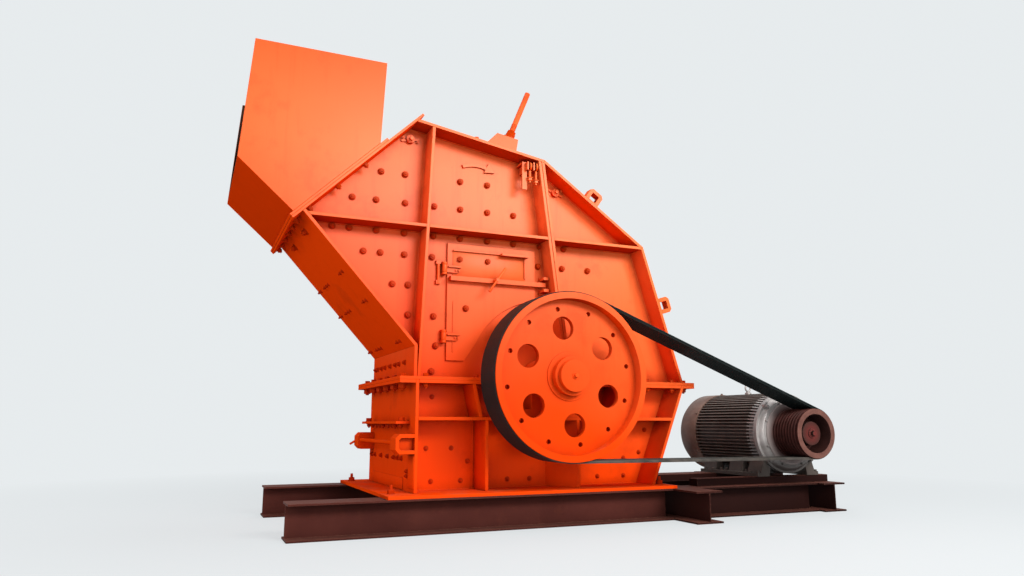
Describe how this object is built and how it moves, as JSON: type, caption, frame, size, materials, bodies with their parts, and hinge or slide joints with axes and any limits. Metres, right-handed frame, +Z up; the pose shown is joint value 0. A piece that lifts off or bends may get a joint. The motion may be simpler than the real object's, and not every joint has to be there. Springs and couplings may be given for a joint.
{
  "type": "horizontal-shaft impact crusher with feed chute and belt drive",
  "caption": "Ribbed welded impact crusher with a sloped feed chute, grooved drive pulley, belt drive and finned electric motor on an H-beam skid.",
  "frame": {"origin": "on the floor, below the middle of the part's box", "axes": "+X from the feed chute towards the motor, +Y from the drive pulley's side to the back, +Z up"},
  "size_m": [4.281, 1.9, 2.9834],
  "materials": {
    "housing_paint": "gloss orange paint",
    "skid_paint": "dark red-brown primer",
    "motor_grey": "grey-brown painted casting",
    "motor_bell": "silver paint",
    "motor_cowl": "brown-grey pressed sheet",
    "motor_pulley_paint": "red-brown primer",
    "belt_rubber": "black rubber",
    "bare_steel": "turned steel",
    "rotor_steel": "worn cast steel"
  },
  "bodies": {
    "frame": {"front_skid_beam": "skid_paint", "rear_skid_beam": "skid_paint", "mid_cross_beam": "skid_paint", "end_cross_beam": "skid_paint", "motor_beams": "skid_paint", "motor_rails": "skid_paint", "motor_frame": "motor_grey", "motor_feet": "motor_grey", "motor_end_bell": "motor_bell", "motor_bearing_cover": "motor_pulley_paint", "motor_fan_cowl": "motor_cowl", "motor_terminal_box": "motor_grey", "drive_belts": "belt_rubber", "bearings": "housing_paint", "bearing_shelves": "housing_paint", "base_plate": "housing_paint", "lower_front_wall": "housing_paint", "lower_rear_wall": "housing_paint", "lower_feed_wall": "housing_paint", "lower_back_wall": "housing_paint", "lower_ribs": "housing_paint", "feed_wall_brackets": "housing_paint", "feed_wall_ledge": "housing_paint", "lower_split_flange": "housing_paint", "upper_split_flange": "housing_paint", "front_wall_beside_door": "housing_paint", "front_wall_over_door": "housing_paint", "front_wall_under_door": "housing_paint", "front_wall_back": "housing_paint", "upper_rear_wall": "housing_paint", "upper_feed_wall": "housing_paint", "throat_floor": "housing_paint", "roof_plate": "housing_paint", "upper_back_slope": "housing_paint", "lower_back_slope": "housing_paint", "upper_uprights": "housing_paint", "level_ribs": "housing_paint", "mouth_flange": "housing_paint", "chute_flange": "housing_paint", "chute_front_wall": "housing_paint", "chute_rear_wall": "housing_paint", "chute_floor": "housing_paint", "chute_back_wall": "housing_paint", "apron_adjusters": "housing_paint", "lifting_lugs": "housing_paint", "feed_apron": "rotor_steel", "back_apron": "rotor_steel", "pivot_bosses": "housing_paint", "door_fittings": "housing_paint"},
    "rotor": {"rotor_shaft": "bare_steel", "rotor_drum": "rotor_steel", "blow_bars": "rotor_steel", "drive_pulley": "housing_paint"},
    "motor_rotor": {"motor_shaft": "bare_steel", "motor_pulley": "motor_pulley_paint"},
    "door": {"inspection_door": "housing_paint", "door_clamp_bar": "housing_paint"}
  },
  "joints": [
    {"name": "rotor_spin", "type": "hinge", "parent": "frame", "child": "rotor", "pos_m": [-0.1555, 0, 0.91], "axis": [0, 1, 0], "continuous": true},
    {"name": "motor_spin", "type": "hinge", "parent": "frame", "child": "motor_rotor", "pos_m": [1.7535, 0, 0.555], "axis": [0, 1, 0], "continuous": true},
    {"name": "door_hinge", "type": "hinge", "parent": "frame", "child": "door", "pos_m": [-0.8325, -0.412, 1.39], "axis": [0, 0, -1], "range_deg": [0, 100]}
  ],
  "couplings": [
    {"joint": "motor_spin", "follows": "rotor_spin", "ratio": 3}
  ]
}
